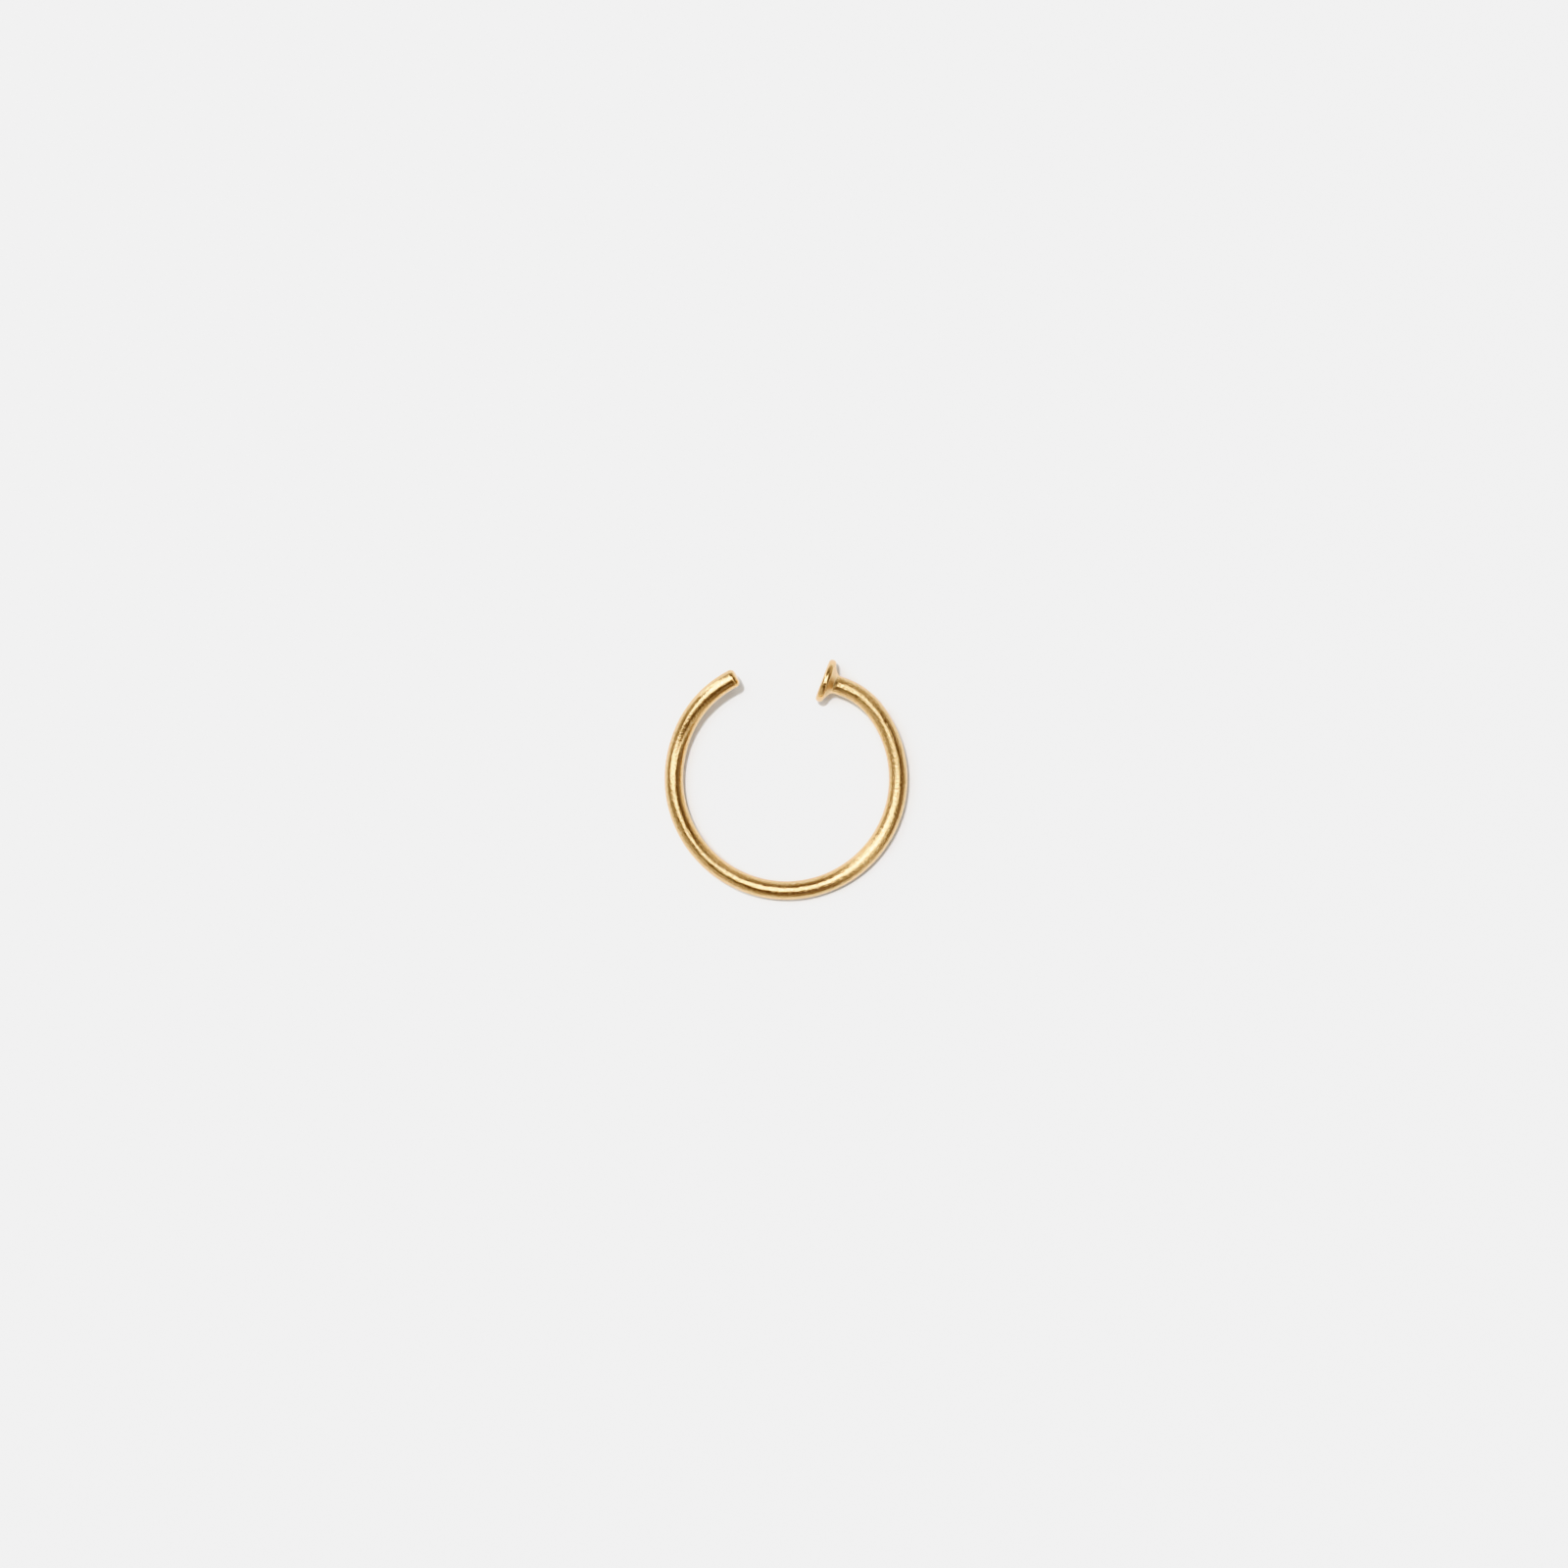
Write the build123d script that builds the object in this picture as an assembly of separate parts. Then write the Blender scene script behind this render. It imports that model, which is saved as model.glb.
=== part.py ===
from build123d import *

import math
import os
from collections import namedtuple

# An open nose hoop: one length of round gold wire bent most of the way round, with a small
# flat disc soldered square across one end. The other end is plain, so that it passes a
# piercing. Millimetres, +Z up. The hoop lies on its side as it comes to rest on a level
# surface, on the disc's rim and the far side of its bow. The origin is on that surface, in
# the middle of the hoop's footprint.

WIRE_DIAMETER = 0.81  # 20 gauge round wire
DISC_DIAMETER = 1.94
DISC_THICKNESS = 0.34
DISC_EDGE_ROUNDING = 0.15  # nearly a full round
DISC_END_STRAIGHT = 0.66  # the wire leaves the disc's back straight for this far
FREE_END_STRAIGHT = 0.32  # the last of the wire, which the bending doesn't reach
FREE_END_ROUNDING = 0.20  # edge radius of the plain end, filed smooth

# Solder flares from the wire out to the disc's back: its corners from the disc on, with how far
# along the wire each one is, the diameter there, and the radius that rounds it.
Corner = namedtuple("Corner", "along diameter rounding")
SOLDER = [
    Corner(along=0.0, diameter=1.60, rounding=0.05),
    Corner(along=0.22, diameter=WIRE_DIAMETER, rounding=0.30),
]

# The bends between the two straight ends run smoothly into each other. Each turns the wire
# clockwise, seen from above, in a plane that is first rolled about the wire. The two rolls
# spring the free end up out of the plane of the bow.
Bend = namedtuple("Bend", "stretch radius turn_deg roll_deg")
BENDS = [
    Bend("disc end", radius=3.05, turn_deg=31.9, roll_deg=0.0),
    Bend("bow", radius=4.88, turn_deg=227.1, roll_deg=0.0),
    Bend("spring", radius=4.80, turn_deg=17.5, roll_deg=-30.0),
    Bend("free end", radius=4.66, turn_deg=36.5, roll_deg=32.0),
]
HEADING_DEG = -20.5  # the way the wire leaves the disc, from +X
LOW_SIDE_DEG = -106.2  # the way from the bow's centre to the side that it balances on, from +X

WIRE_RADIUS = WIRE_DIAMETER / 2
DISC_RADIUS = DISC_DIAMETER / 2
STANDING = (Align.CENTER, Align.CENTER, Align.MIN)


def level_direction(angle_deg):
    """The unit vector in the XY plane at an angle from +X."""
    angle = math.radians(angle_deg)
    return Vector(math.cos(angle), math.sin(angle), 0)


def make_disc_end(start, along):
    """The disc behind the start, the straight wire in front of it, and the solder between."""
    outline = Polyline(
        (0, -DISC_THICKNESS),
        (DISC_RADIUS, -DISC_THICKNESS),
        (DISC_RADIUS, 0),
        *((corner.diameter / 2, corner.along) for corner in SOLDER),
        (WIRE_RADIUS, DISC_END_STRAIGHT),
        (0, DISC_END_STRAIGHT),
        close=True,
    )
    section = make_face(outline)
    section = fillet(section.vertices().group_by(Axis.X)[-1], radius=DISC_EDGE_ROUNDING)
    for corner in SOLDER:
        place = (corner.diameter / 2, corner.along)
        nearest = section.vertices().sort_by_distance(place)[0]
        section = fillet(nearest, radius=corner.rounding)
    return Plane(origin=start, z_dir=along) * revolve(Plane.XZ * section, axis=Axis.Z)


def make_bend(bend, point, along, outward):
    """One bend of the wire, as part of a torus, and where, how and in what plane it ends."""
    outward = outward.rotate(Axis((0, 0, 0), along), bend.roll_deg)
    centre = point - outward * bend.radius
    bending_plane = Plane(origin=centre, x_dir=outward, z_dir=outward.cross(along))
    section = Plane(origin=point, x_dir=outward, z_dir=along) * Circle(WIRE_RADIUS)
    bending_axis = Axis(centre, bending_plane.z_dir)
    torus = revolve(section, axis=bending_axis, revolution_arc=bend.turn_deg)
    line = bending_plane * CenterArc((0, 0), bend.radius, 0, bend.turn_deg)
    end_point = line @ 1
    return torus, end_point, line % 1, (end_point - centre).normalized()


def make_free_end(start, along):
    """The straight free end of the wire, with its edge filed round."""
    end = Cylinder(WIRE_RADIUS, FREE_END_STRAIGHT, align=STANDING)
    end = fillet(end.edges().group_by(Axis.Z)[-1], radius=FREE_END_ROUNDING)
    return Plane(origin=start, z_dir=along) * end


def resting_tilt_deg(disc_centre, bow_centre, bow_radius):
    """How far the hoop leans, with the disc's rim and the bow's low side on one level."""
    span = (bow_centre - disc_centre).dot(level_direction(LOW_SIDE_DEG)) + bow_radius
    return math.degrees(math.asin((DISC_RADIUS - WIRE_RADIUS) / span))


def make_hoop():
    """The whole hoop with its bow level, and the bow's centre."""
    along = level_direction(HEADING_DEG)
    outward = level_direction(HEADING_DEG + 90)
    hoop = make_disc_end(Vector(0, 0, 0), along)
    point = along * DISC_END_STRAIGHT
    for bend in BENDS:
        torus, point, along, outward = make_bend(bend, point, along, outward)
        hoop += torus
        if bend.stretch == "bow":
            bow_centre = point - outward * bend.radius
    return hoop + make_free_end(point, along), bow_centre


def lay_down(hoop, bow_centre):
    """The hoop as it rests on a level surface, over the origin."""
    disc_centre = level_direction(HEADING_DEG) * (-DISC_THICKNESS / 2)
    lean_axis = Axis(disc_centre, level_direction(LOW_SIDE_DEG + 90))
    bow_radius = next(bend.radius for bend in BENDS if bend.stretch == "bow")
    hoop = hoop.rotate(lean_axis, resting_tilt_deg(disc_centre, bow_centre, bow_radius))
    box = hoop.bounding_box()
    return hoop.translate((-box.center().X, -box.center().Y, -box.min.Z))


os.makedirs("parts", exist_ok=True)
export_step(lay_down(*make_hoop()), "parts/nose_hoop.step")
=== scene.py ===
import math

import bpy
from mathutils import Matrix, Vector


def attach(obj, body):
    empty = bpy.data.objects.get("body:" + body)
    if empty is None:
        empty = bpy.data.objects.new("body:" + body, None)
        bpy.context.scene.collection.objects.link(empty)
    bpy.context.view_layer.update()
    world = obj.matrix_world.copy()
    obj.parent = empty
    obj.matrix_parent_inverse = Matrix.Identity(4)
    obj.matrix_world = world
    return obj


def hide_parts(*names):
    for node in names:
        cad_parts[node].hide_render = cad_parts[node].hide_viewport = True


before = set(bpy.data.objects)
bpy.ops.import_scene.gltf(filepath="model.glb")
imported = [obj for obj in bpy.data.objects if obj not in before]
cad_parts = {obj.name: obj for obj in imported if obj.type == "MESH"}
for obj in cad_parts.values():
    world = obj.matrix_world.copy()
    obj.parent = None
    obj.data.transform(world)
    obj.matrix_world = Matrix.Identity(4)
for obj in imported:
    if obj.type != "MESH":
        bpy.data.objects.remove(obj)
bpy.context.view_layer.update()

# ---- The hoop -----------------------------------------------------------------------------
# One length of round gold wire, with a disc soldered across one end and the other end filed
# smooth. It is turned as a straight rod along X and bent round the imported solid's own radii,
# so it is one closed surface. Sizes in mm, angles in degrees.
WIRE_DIAMETER = 0.81
DISC_DIAMETER = 1.94
DISC_THICKNESS = 0.34
DISC_EDGE_ROUNDING = 0.15
SOLDER = [  # its corners from the disc on: name, distance along the wire, diameter, rounding
    ("foot", 0.0, 1.60, 0.05),
    ("top", 0.22, WIRE_DIAMETER, 0.30),
]
DISC_END_STRAIGHT = 0.66
FREE_END_STRAIGHT = 0.32
FREE_END_ROUNDING = 0.20
BENDS = [  # name, radius, turn, and roll of the bending plane from level, about the wire
    ("disc end", 3.05, 31.9, 0.0),
    ("bow", 4.88, 227.1, 0.0),
    ("spring", 4.80, 17.5, -30.0),
    ("free end", 4.66, 36.5, 2.0),
]
HEADING = -20.5  # the way the wire leaves the disc, from +X
LEAN = 3.424  # how far it leans over on the disc's rim
LEAN_AXIS = -16.2  # the level line that it leans about, from +X
SECTION_SPACING = 0.04  # the most between two rings of the mesh, along the wire
ROUNDING_POINTS = 10  # on each rounded corner of the long section
SEAM_REACH = 0.0005  # points nearer than this are joined, which closes the seam and the poles
FACES_AROUND = 96
METRES = 0.001  # in a millimetre

GOLD_DARK = (0.81, 0.54, 0.305, 1.0)
GOLD_PALE = (1.0, 0.72, 0.455, 1.0)
# paler solder, whose tint is also painted light that lifts the shaded pocket between the disc and
# the wire
SOLDER_TINT_WITH_PAINTED_LIGHT = (0.965, 0.72, 0.48, 1.0)
SOLDER_ROUGHNESS = 0.43
POLISH = (0.07, 0.13)  # the wire's roughness, from its best polished spots to its dullest
DRAWN_LINES = (1.6, 14.0, 1.0)  # how many to the mm along and across the wire, and a seed
WORKED_MARKS = (7.0, 8.0, 2.0)
FINE_MARKS = (20.0, 22.0, 3.0)
SPECKS = (9.0, 11.0, 5.0)
DRAWN_HEIGHT = 11e-6  # in metres, like the next two
WORKED_HEIGHT = 12e-6
FINE_HEIGHT = 8e-6
DEPTH_BY_DISC = 1.3  # the share of those heights that the wire has there, and at its free end
DEPTH_AT_FREE_END = 0.5
DEPTH_ON_DISC = 0.35  # the share of the marks beside it that the disc has
DISC_TO_WIRE = (-0.05, 0.30)  # the stretch where the disc's faint marks grow into the wire's
SOLDER_AND_PAINTED_LIGHT_FADE = (0.12, 0.32)  # the stretch where the solder's look, and the light painted into the pocket by the disc, runs out
SOLDER_EDGE = -0.02  # where it ends on the other side, just round the edge of the disc's back
NOISE_MIDDLE = (0.3, 0.7)  # where nearly all of a mark's heights lie


def add(tree, kind, feeds=None, **settings):
    """A node with its settings. Each feed is a value, or another node's output to link."""
    node = tree.nodes.new(kind)
    for name, value in settings.items():
        setattr(node, name, value)
    for socket, value in (feeds or {}).items():
        if isinstance(value, bpy.types.NodeSocket):
            tree.links.new(value, node.inputs[socket])
        else:
            node.inputs[socket].default_value = value
    return node


def work_out(tree, operation, *values):
    """The output of a Math node."""
    return add(tree, "ShaderNodeMath", dict(enumerate(values)), operation=operation).outputs[0]


def vector_work(tree, operation, *vectors):
    """The output of a Vector Math node that gives a vector."""
    feeds = dict(enumerate(vectors))
    return add(tree, "ShaderNodeVectorMath", feeds, operation=operation).outputs[0]


def vector_of(tree, x=0.0, y=0.0, z=0.0):
    """The output of a Combine XYZ node."""
    return add(tree, "ShaderNodeCombineXYZ", {"X": x, "Y": y, "Z": z}).outputs[0]


def new_group(name, kind, takes, gives):
    """A node tree with named inputs and outputs: the tree, its inputs and its result."""
    tree = bpy.data.node_groups.new(name, kind)
    for way, sockets in (("INPUT", takes), ("OUTPUT", gives)):
        for label, socket in sockets.items():
            tree.interface.new_socket(label, in_out=way, socket_type="NodeSocket" + socket)
    given = tree.nodes.new("NodeGroupInput").outputs
    return tree, given, tree.nodes.new("NodeGroupOutput").inputs


def move(tree, geometry, place):
    """The geometry with its points at a new place."""
    feeds = {"Geometry": geometry, "Position": place}
    return add(tree, "GeometryNodeSetPosition", feeds).outputs[0]


def turn_about(tree, place, centre, axis, angle):
    """A place turned by an angle about an axis through a centre."""
    feeds = {"Vector": place, "Center": centre, "Axis": axis, "Angle": angle}
    return add(tree, "ShaderNodeVectorRotate", feeds, rotation_type="AXIS_ANGLE").outputs[0]


def make_bend_group():
    """Bends a wire that is straight up to this bend, and carries round all that follows."""
    takes = {"Geometry": "Geometry"}
    takes |= dict.fromkeys(["Start", "Radius", "Turn", "Roll"], "Float")
    tree, given, result = new_group(
        "Bend the wire", "GeometryNodeTree", takes, {"Geometry": "Geometry"}
    )
    straight = add(
        tree,
        "GeometryNodeInputNamedAttribute",
        {"Name": "straight_place"},
        data_type="FLOAT_VECTOR",
    )
    along = add(tree, "ShaderNodeSeparateXYZ", {0: straight.outputs["Attribute"]}).outputs["X"]
    past = work_out(tree, "MAXIMUM", work_out(tree, "SUBTRACT", along, given["Start"]), 0.0)
    turned = work_out(tree, "DIVIDE", past, given["Radius"])
    turned = work_out(tree, "MINIMUM", turned, given["Turn"])
    taken_up = vector_of(tree, work_out(tree, "MULTIPLY", turned, given["Radius"]))
    level_share = work_out(tree, "COSINE", given["Roll"])
    upward_share = work_out(tree, "SINE", given["Roll"])
    inward = work_out(tree, "MULTIPLY", given["Radius"], -1.0)
    centre = vector_of(
        tree,
        given["Start"],
        work_out(tree, "MULTIPLY", inward, level_share),
        work_out(tree, "MULTIPLY", inward, upward_share),
    )
    axis = vector_of(tree, 0.0, upward_share, work_out(tree, "MULTIPLY", level_share, -1.0))
    here = add(tree, "GeometryNodeInputPosition").outputs[0]
    drawn_back = vector_work(tree, "SUBTRACT", here, taken_up)
    bent = turn_about(tree, drawn_back, centre, axis, turned)
    tree.links.new(move(tree, given["Geometry"], bent), result[0])
    return tree


def choose(tree, data_type, items):
    """One item for each point of a line, by the point's index."""
    node = add(tree, "GeometryNodeIndexSwitch", data_type=data_type)
    for _ in items[2:]:
        node.index_switch_items.new()
    tree.links.new(add(tree, "GeometryNodeInputIndex").outputs[0], node.inputs["Index"])
    for number, item in enumerate(items, start=1):
        if isinstance(item, bpy.types.NodeSocket):
            tree.links.new(item, node.inputs[number])
        else:
            node.inputs[number].default_value = item
    return node.outputs[0]


def make_hoop_tree(labels):
    """The tree that makes the whole hoop, in metres, from sizes in mm and angles."""
    takes = dict.fromkeys(labels, "Float") | {"Faces around": "Int", "Material": "Material"}
    tree, given, result = new_group(
        "Nose hoop", "GeometryNodeTree", takes, {"Geometry": "Geometry"}
    )
    here = add(tree, "GeometryNodeInputPosition").outputs[0]
    index = add(tree, "GeometryNodeInputIndex").outputs[0]

    # half of the long section: disc's outer face, rim and back, solder, wire and free end
    wire_radius = work_out(tree, "MULTIPLY", given["Wire diameter"], 0.5)
    disc_radius = work_out(tree, "MULTIPLY", given["Disc diameter"], 0.5)
    outer_face = work_out(tree, "MULTIPLY", given["Disc thickness"], -1.0)
    corners = [
        vector_of(tree, outer_face),
        vector_of(tree, outer_face, disc_radius),
        vector_of(tree, 0.0, disc_radius),
        *(
            vector_of(
                tree,
                given[f"Solder {corner} along"],
                work_out(tree, "MULTIPLY", given[f"Solder {corner} diameter"], 0.5),
            )
            for corner, *_ in SOLDER
        ),
        vector_of(tree, given["Wire length"], wire_radius),
        vector_of(tree, given["Wire length"]),
    ]
    edge = given["Disc edge rounding"]
    solder = [given[f"Solder {corner} rounding"] for corner, *_ in SOLDER]
    roundings = [0.0, edge, edge, *solder, given["Free end rounding"], 0.0]
    line = add(tree, "GeometryNodeCurvePrimitiveLine").outputs[0]
    feeds = {"Curve": line, "Count": len(corners)}
    line = add(tree, "GeometryNodeResampleCurve", feeds).outputs[0]
    line = move(tree, line, choose(tree, "VECTOR", corners))
    feeds = {"Curve": line, "Count": ROUNDING_POINTS, "Radius": choose(tree, "FLOAT", roundings)}
    line = add(tree, "GeometryNodeFilletCurve", feeds, mode="POLY").outputs[0]
    feeds = {"Value": here, "Index": work_out(tree, "ADD", index, 1.0)}
    following = add(tree, "GeometryNodeFieldAtIndex", feeds, data_type="FLOAT_VECTOR").outputs[0]
    gap = add(tree, "ShaderNodeVectorMath", {0: here, 1: following}, operation="DISTANCE")
    cuts = work_out(tree, "DIVIDE", gap.outputs["Value"], given["Section spacing"])
    feeds = {"Curve": line, "Cuts": work_out(tree, "FLOOR", cuts)}
    line = add(tree, "GeometryNodeSubdivideCurve", feeds).outputs[0]

    # that section turned about X, with its seam and both its poles closed
    rings = add(tree, "GeometryNodeAttributeDomainSize", {0: line}, component="CURVE")
    columns = add(
        tree, "FunctionNodeIntegerMath", {0: given["Faces around"], 1: 1}, operation="ADD"
    ).outputs[0]
    feeds = {"Vertices X": rings.outputs["Point Count"], "Vertices Y": columns}
    sheet = add(tree, "GeometryNodeMeshGrid", feeds).outputs["Mesh"]
    feeds = {0: index, 1: columns}
    row = add(tree, "FunctionNodeIntegerMath", feeds, operation="DIVIDE_FLOOR").outputs[0]
    column = add(tree, "FunctionNodeIntegerMath", feeds, operation="MODULO").outputs[0]
    feeds = {"Geometry": line, "Value": here, "Index": row}
    section = add(tree, "GeometryNodeSampleIndex", feeds, data_type="FLOAT_VECTOR").outputs[0]
    section = add(tree, "ShaderNodeSeparateXYZ", {0: section}).outputs
    angle = work_out(tree, "MULTIPLY", column, -math.tau)
    angle = work_out(tree, "DIVIDE", angle, given["Faces around"])
    turned_place = vector_of(
        tree,
        section["X"],
        work_out(tree, "MULTIPLY", section["Y"], work_out(tree, "COSINE", angle)),
        work_out(tree, "MULTIPLY", section["Y"], work_out(tree, "SINE", angle)),
    )
    hoop = move(tree, sheet, turned_place)
    feeds = {"Geometry": hoop, "Distance": SEAM_REACH}
    hoop = add(tree, "GeometryNodeMergeByDistance", feeds).outputs[0]
    feeds = {"Geometry": hoop, "Name": "straight_place", "Value": here}
    hoop = add(
        tree, "GeometryNodeStoreNamedAttribute", feeds, data_type="FLOAT_VECTOR", domain="POINT"
    ).outputs[0]

    # bent from the free end back, so that each bend finds its own stretch still straight
    bend_group = make_bend_group()
    for bend, *_ in reversed(BENDS):
        feeds = {size: given[f"{size} of {bend}"] for size in ("Start", "Radius", "Turn", "Roll")}
        feeds["Geometry"] = hoop
        hoop = add(tree, "GeometryNodeGroup", feeds, node_tree=bend_group).outputs[0]

    # laid down: turned to its heading, leant over on the disc, and set on the floor
    upright = vector_of(tree, 0.0, 0.0, 1.0)
    middle = vector_of(tree, work_out(tree, "MULTIPLY", outer_face, 0.5))
    lean_from_wire = work_out(tree, "SUBTRACT", given["Lean axis"], given["Heading"])
    lean_line = vector_of(
        tree,
        work_out(tree, "COSINE", lean_from_wire),
        work_out(tree, "SINE", lean_from_wire),
    )
    leant = turn_about(tree, here, middle, lean_line, given["Lean"])
    headed = turn_about(tree, leant, vector_of(tree), upright, given["Heading"])
    hoop = move(tree, hoop, headed)
    box = add(tree, "GeometryNodeBoundBox", {0: hoop}).outputs
    both = vector_work(tree, "ADD", box["Min"], box["Max"])
    middle_of_box = vector_work(tree, "MULTIPLY", both, (0.5, 0.5, 0.0))
    lowest = vector_of(tree, z=add(tree, "ShaderNodeSeparateXYZ", {0: box["Min"]}).outputs["Z"])
    off = vector_work(tree, "ADD", middle_of_box, lowest)
    shifted = vector_work(tree, "SUBTRACT", here, off)
    in_metres = vector_work(tree, "MULTIPLY", shifted, (METRES, METRES, METRES))
    hoop = move(tree, hoop, in_metres)
    hoop = add(tree, "GeometryNodeSetShadeSmooth", {"Geometry": hoop}).outputs[0]
    hoop = add(tree, "GeometryNodeRealizeInstances", {"Geometry": hoop}).outputs[0]
    feeds = {"Geometry": hoop, "Material": given["Material"]}
    tree.links.new(add(tree, "GeometryNodeSetMaterial", feeds).outputs[0], result[0])
    return tree


def run_tree(name, tree, sizes):
    """The plain mesh that a Geometry Nodes tree makes from these inputs."""
    holder = bpy.data.objects.new(name, bpy.data.meshes.new(name))
    bpy.context.scene.collection.objects.link(holder)
    modifier = holder.modifiers.new("Shape", "NODES")
    modifier.node_group = tree
    for item in tree.interface.items_tree:
        if item.in_out == "INPUT" and item.name in sizes:
            modifier[item.identifier] = sizes[item.name]
    shown = holder.evaluated_get(bpy.context.evaluated_depsgraph_get())
    mesh = bpy.data.meshes.new_from_object(shown)
    holder.modifiers.remove(modifier)
    holder.data = mesh
    return holder


def make_grain_group():
    """Fine worked marks: a height that varies over the surface, as long as the lay makes them."""
    takes = {"Place": "Vector", "Along": "Float", "Across": "Float", "Seed": "Float"}
    tree, given, result = new_group("Grain", "ShaderNodeTree", takes, {"Height": "Float"})
    lay = vector_of(tree, given["Along"], given["Across"], given["Across"])
    laid = vector_work(tree, "MULTIPLY", given["Place"], lay)
    feeds = {"Vector": laid, "W": given["Seed"], "Scale": 1.0, "Detail": 2.0, "Roughness": 0.6}
    grain = add(tree, "ShaderNodeTexNoise", feeds, noise_dimensions="4D")
    tree.links.new(grain.outputs["Fac"], result[0])
    return tree


def spread_out(tree, value, stretch, low, high):
    """A value's stretch from one number to another, spread from the low value to the high one."""
    feeds = {"Value": value, "From Min": stretch[0], "From Max": stretch[1]}
    feeds |= {"To Min": low, "To Max": high}
    return add(tree, "ShaderNodeMapRange", feeds).outputs["Result"]


def mix_colours(tree, share, first, second):
    """The first colour with a share of the second."""
    feeds = {0: share, 6: first, 7: second}  # 6, 7 and output 2 are the sockets for colours
    return add(tree, "ShaderNodeMix", feeds, data_type="RGBA").outputs[2]


def make_gold(wire_length):
    """Satin yellow gold: drawn lines along the wire, worked marks, and paler, duller solder whose
    pale tint also paints light into the shaded pocket between the disc and the wire.
    """
    gold = bpy.data.materials.new("yellow gold")
    gold.use_nodes = True
    tree = gold.node_tree
    surface = tree.nodes["Principled BSDF"]
    surface.inputs["Metallic"].default_value = 1.0
    place = add(tree, "ShaderNodeAttribute", attribute_name="straight_place").outputs["Vector"]
    along = add(tree, "ShaderNodeSeparateXYZ", {0: place}).outputs["X"]
    grain_group = make_grain_group()

    def grain(lengthways, crossways, seed):
        """One kind of mark, by how many there are to the mm each way."""
        feeds = {"Place": place, "Along": lengthways, "Across": crossways, "Seed": seed}
        return add(tree, "ShaderNodeGroup", feeds, node_tree=grain_group).outputs["Height"]

    def grade(stretch, low, high=1.0):
        """A value that goes from low to high over a stretch of the wire."""
        return spread_out(tree, along, stretch, low, high)

    # the marks are deepest near the disc and fade towards the free end; the disc is smoother
    depth = grade((0.0, wire_length), DEPTH_BY_DISC, DEPTH_AT_FREE_END)
    off_the_disc = grade(DISC_TO_WIRE, DEPTH_ON_DISC)
    depth = work_out(tree, "MULTIPLY", depth, off_the_disc)
    worked = grain(*WORKED_MARKS)
    spread = work_out(tree, "MULTIPLY", off_the_disc, 0.5)
    palest = work_out(tree, "ADD", spread, 0.5)
    darkest = work_out(tree, "SUBTRACT", 0.5, spread)
    specks = spread_out(tree, grain(*SPECKS), NOISE_MIDDLE, darkest, palest)

    # the solder lies on the disc's back and along the first of the wire; its pale tint is partly
    # the solder's own colour and partly painted light that lifts the shade in the pocket where the
    # disc meets the wire
    solder = grade(SOLDER_AND_PAINTED_LIGHT_FADE, 1.0, 0.0)
    on_its_side = work_out(tree, "GREATER_THAN", along, SOLDER_EDGE)
    solder = work_out(tree, "MULTIPLY", solder, on_its_side)

    tone = mix_colours(tree, specks, GOLD_DARK, GOLD_PALE)
    # painted light: the pale solder tint brightens the shaded pocket by the disc
    tone = mix_colours(tree, solder, tone, SOLDER_TINT_WITH_PAINTED_LIGHT)
    tree.links.new(tone, surface.inputs["Base Color"])
    polish = spread_out(tree, worked, NOISE_MIDDLE, *POLISH)
    dull = spread_out(tree, solder, (0.0, 1.0), polish, SOLDER_ROUGHNESS)
    tree.links.new(dull, surface.inputs["Roughness"])

    marks = [
        (grain(*DRAWN_LINES), DRAWN_HEIGHT),
        (worked, WORKED_HEIGHT),
        (grain(*FINE_MARKS), FINE_HEIGHT),
    ]
    under = {}
    for heights, height in marks:
        feeds = {"Height": work_out(tree, "MULTIPLY", heights, depth), "Distance": height} | under
        under = {"Normal": add(tree, "ShaderNodeBump", feeds).outputs["Normal"]}
    tree.links.new(under["Normal"], surface.inputs["Normal"])
    return gold


hoop_sizes = {
    "Wire diameter": WIRE_DIAMETER,
    "Disc diameter": DISC_DIAMETER,
    "Disc thickness": DISC_THICKNESS,
    "Disc edge rounding": DISC_EDGE_ROUNDING,
    "Free end rounding": FREE_END_ROUNDING,
    "Heading": math.radians(HEADING),
    "Lean": math.radians(LEAN),
    "Lean axis": math.radians(LEAN_AXIS),
    "Section spacing": SECTION_SPACING,
}
for corner, corner_along, diameter, rounding in SOLDER:
    hoop_sizes[f"Solder {corner} along"] = corner_along
    hoop_sizes[f"Solder {corner} diameter"] = diameter
    hoop_sizes[f"Solder {corner} rounding"] = rounding
bent_so_far = DISC_END_STRAIGHT
for bend, radius, turn, roll in BENDS:
    hoop_sizes[f"Start of {bend}"] = bent_so_far
    hoop_sizes[f"Radius of {bend}"] = radius
    hoop_sizes[f"Turn of {bend}"] = math.radians(turn)
    hoop_sizes[f"Roll of {bend}"] = math.radians(roll)
    bent_so_far += radius * math.radians(turn)
hoop_sizes["Wire length"] = bent_so_far + FREE_END_STRAIGHT
gold = make_gold(hoop_sizes["Wire length"])
hoop_tree = make_hoop_tree(hoop_sizes)
hoop_sizes |= {"Faces around": FACES_AROUND, "Material": gold}
hoop = run_tree("gold_hoop", hoop_tree, hoop_sizes)
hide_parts("nose_hoop")
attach(hoop, "root")

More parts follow.
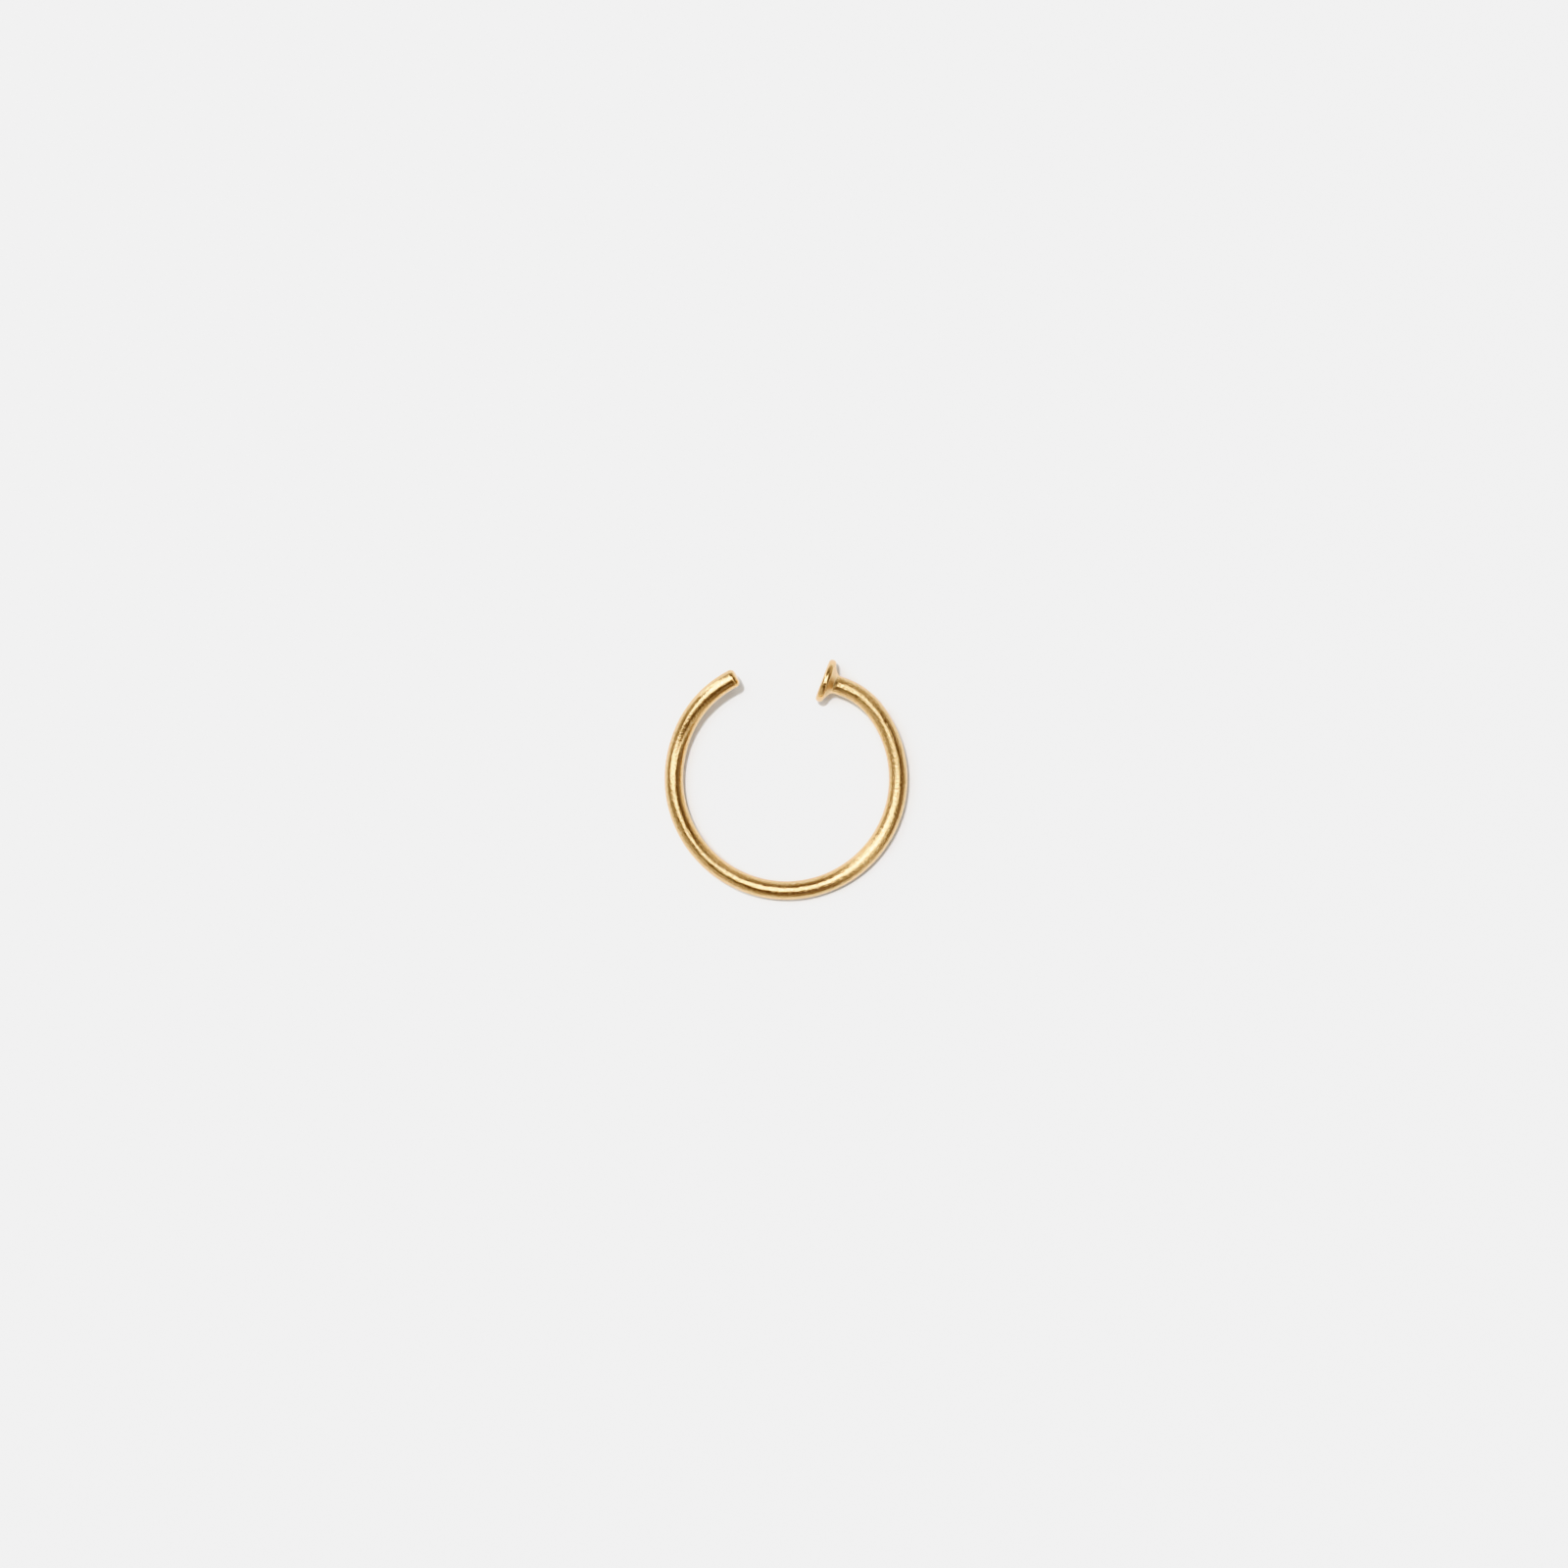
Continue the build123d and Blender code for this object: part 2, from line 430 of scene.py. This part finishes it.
# ---- The floor ----------------------------------------------------------------------------
# A smooth pale board with a slight sheen, which the hoop lies on. It isn't part of the object:
# it takes the hoop's shadow and sends some light back up under the wire.
FLOOR_REACH = 1.5  # metres from the middle to each side
FLOOR_SHADE = (0.9, 0.9, 0.9, 1.0)
FLOOR_ROUGHNESS = 0.35
board = bpy.data.meshes.new("floor")
board.from_pydata(
    [(x * FLOOR_REACH, y * FLOOR_REACH, 0) for x, y in ((-1, -1), (1, -1), (1, 1), (-1, 1))],
    [],
    [(0, 1, 2, 3)],
)
floor = bpy.data.objects.new("floor", board)
bpy.context.scene.collection.objects.link(floor)
pale = bpy.data.materials.new("pale board")
pale.use_nodes = True
pale_surface = pale.node_tree.nodes["Principled BSDF"]
pale_surface.inputs["Base Color"].default_value = FLOOR_SHADE
pale_surface.inputs["Roughness"].default_value = FLOOR_ROUGHNESS
board.materials.append(pale)

# ---- The light ----------------------------------------------------------------------------
# A small hard lamp high on the left throws the shadow, and a bank of soft ones stands over and
# beside it in a dim room. The hard lamp's own glint is flagged off the wire. Angles in degrees.
KEY_OFF_VERTICAL = 11.8
KEY_AZIMUTH = 130.0
KEY_SPREAD = 3.0
KEY_STRENGTH = 1.27
KEY_DISTANCE = 0.5
SOFTBOXES = [  # off vertical, azimuth, half length, half width, turn, soft edge, brightness
    (70.0, 318.0, 20.0, 40.0, 318.0, 9.0, 0.27),
    (50.0, 310.0, 22.0, 7.0, 310.0, 5.0, 0.55),
    (64.0, 228.0, 12.0, 20.0, 228.0, 7.0, 0.50),
    (62.0, 50.0, 12.0, 14.0, 50.0, 7.0, 0.50),
    (23.0, 170.0, 19.0, 14.0, 170.0, 4.0, 1.50),
    (17.0, 83.0, 13.0, 11.5, 65.0, 4.0, 1.55),
    (19.0, 309.0, 18.0, 4.5, 309.0, 4.0, 0.95),
    (8.0, 309.0, 17.0, 3.2, 132.0, 3.2, 2.00),
    (24.0, 146.0, 17.0, 8.0, 146.0, 5.0, 2.40),
    (45.0, 141.0, 18.0, 5.5, 141.0, 4.0, 1.65),
]
ROOM_BANDS = [  # height, from the floor's level at 0 to overhead at 1, and brightness
    (0.0, 0.52),
    (0.17, 0.48),
    (0.42, 0.36),
    (0.64, 0.19),
    (0.90, 0.17),
    (1.0, 0.55),
]
BACKDROP = (0.90, 0.90, 0.90, 1.0)  # what shows past the floor's edge
SKY_TINT = (1.0, 0.985, 0.94)  # the soft lamps are a little warm, and the hard one a little cool
KEY_TINT = (0.975, 1.0, 1.07)
TONES_WHITE = 1.5  # the brightest light that the curve reaches
TONES = [  # the light in the scene, and what it prints as
    (0.07, 0.0065),
    (0.085, 0.018),
    (0.12, 0.05),
    (0.24, 0.225),
    (0.49, 0.555),
    (0.70, 0.745),
    (0.81, 0.858),
    (0.96, 0.888),
    (1.15, 0.955),
]


def aim(off_vertical, azimuth):
    """The way to a lamp, by its angle off the vertical and its bearing from +X."""
    tilt, way = math.radians(off_vertical), math.radians(azimuth)
    return Vector((math.sin(tilt) * math.cos(way), math.sin(tilt) * math.sin(way), math.cos(tilt)))


def sky_colour(level):
    """The colour of a part of the sky, from how bright it is."""
    return (*(level * share for share in SKY_TINT), 1.0)


def make_softbox_group():
    """A soft-edged rectangle in the sky: its share of the light, by direction."""
    takes = {"Direction": "Vector", "Centre": "Vector", "Turn": "Float"}
    takes |= dict.fromkeys(["Half length", "Half width", "Soft edge"], "Float")
    tree, given, result = new_group("Softbox", "ShaderNodeTree", takes, {"Share": "Float"})
    turned = add(
        tree,
        "ShaderNodeVectorRotate",
        {"Vector": given["Direction"], "Center": given["Centre"], "Angle": given["Turn"]},
        rotation_type="Z_AXIS",
    ).outputs[0]
    from_centre = vector_work(tree, "SUBTRACT", turned, given["Centre"])
    across = add(tree, "ShaderNodeSeparateXYZ", {0: from_centre}).outputs
    shares = []
    for axis, half in (("X", "Half length"), ("Y", "Half width")):
        out = work_out(tree, "ABSOLUTE", across[axis])
        feeds = {
            "Value": out,
            "From Min": work_out(tree, "SUBTRACT", given[half], given["Soft edge"]),
            "From Max": work_out(tree, "ADD", given[half], given["Soft edge"]),
            "To Min": 1.0,
            "To Max": 0.0,
        }
        shares.append(
            add(tree, "ShaderNodeMapRange", feeds, interpolation_type="SMOOTHSTEP").outputs[0]
        )
    tree.links.new(work_out(tree, "MULTIPLY", *shares), result[0])
    return tree


lamp = bpy.data.lights.new("key", "SUN")
lamp.angle = math.radians(KEY_SPREAD)
lamp.energy = KEY_STRENGTH
lamp.color = KEY_TINT
key = bpy.data.objects.new("key", lamp)
key.rotation_mode = "QUATERNION"
key.rotation_quaternion = aim(KEY_OFF_VERTICAL, KEY_AZIMUTH).to_track_quat("Z", "Y")
key.location = aim(KEY_OFF_VERTICAL, KEY_AZIMUTH) * KEY_DISTANCE
key.visible_glossy = False
bpy.context.scene.collection.objects.link(key)

room = bpy.data.worlds.new("room")
bpy.context.scene.world = room
room.use_nodes = True
tree = room.node_tree
tree.nodes.clear()
direction = add(tree, "ShaderNodeTexCoord").outputs["Generated"]
height = add(tree, "ShaderNodeSeparateXYZ", {0: direction}).outputs["Z"]
ramp = add(tree, "ShaderNodeValToRGB", {0: height})
bands = ramp.color_ramp.elements
for place, _ in ROOM_BANDS[1:-1]:  # a new ramp has the lowest and the highest already
    bands.new(place)
for band, (_, level) in zip(bands, ROOM_BANDS):
    band.color = sky_colour(level)
sky = ramp.outputs["Color"]
softbox_group = make_softbox_group()
for off_vertical, azimuth, half_length, half_width, turn, soft_edge, level in SOFTBOXES:
    feeds = {
        "Direction": direction,
        "Centre": aim(off_vertical, azimuth),
        "Turn": -math.radians(turn),
        "Half length": math.sin(math.radians(half_length)),
        "Half width": math.sin(math.radians(half_width)),
        "Soft edge": math.sin(math.radians(soft_edge)),
    }
    share = add(tree, "ShaderNodeGroup", feeds, node_tree=softbox_group).outputs["Share"]
    sky = mix_colours(tree, share, sky, sky_colour(level))
seen = add(tree, "ShaderNodeLightPath").outputs["Is Camera Ray"]
sky = mix_colours(tree, seen, sky, BACKDROP)
sky = add(tree, "ShaderNodeBackground", {"Color": sky})
tree.links.new(sky.outputs[0], add(tree, "ShaderNodeOutputWorld").inputs["Surface"])
view = bpy.context.scene.view_settings
view.view_transform = "Standard"
view.use_curve_mapping = True
tones = view.curve_mapping
tones.white_level = (TONES_WHITE, TONES_WHITE, TONES_WHITE)
all_colours = tones.curves[3]  # after the ones for red, green and blue
for light, shown in TONES:
    all_colours.points.new(light / TONES_WHITE, shown)
tones.update()

# ---- The camera ---------------------------------------------------------------------------
# A long lens looks straight down from above, with the hoop small in the middle of a plain
# field.
FIELD = 0.0682  # metres across the frame, at the height of the wire
WIRE_LEVEL = 0.0007
OFF_MIDDLE = (-0.000087, -0.000183)  # from the middle of the hoop's footprint
lens = bpy.data.cameras.new("camera")
lens.lens = 100.0
lens.sensor_width = 36.0
lens.clip_start = 0.01
lens.clip_end = 10.0
camera = bpy.data.objects.new("camera", lens)
camera.location = (*OFF_MIDDLE, WIRE_LEVEL + FIELD * lens.lens / lens.sensor_width)
bpy.context.scene.collection.objects.link(camera)
bpy.context.scene.camera = camera
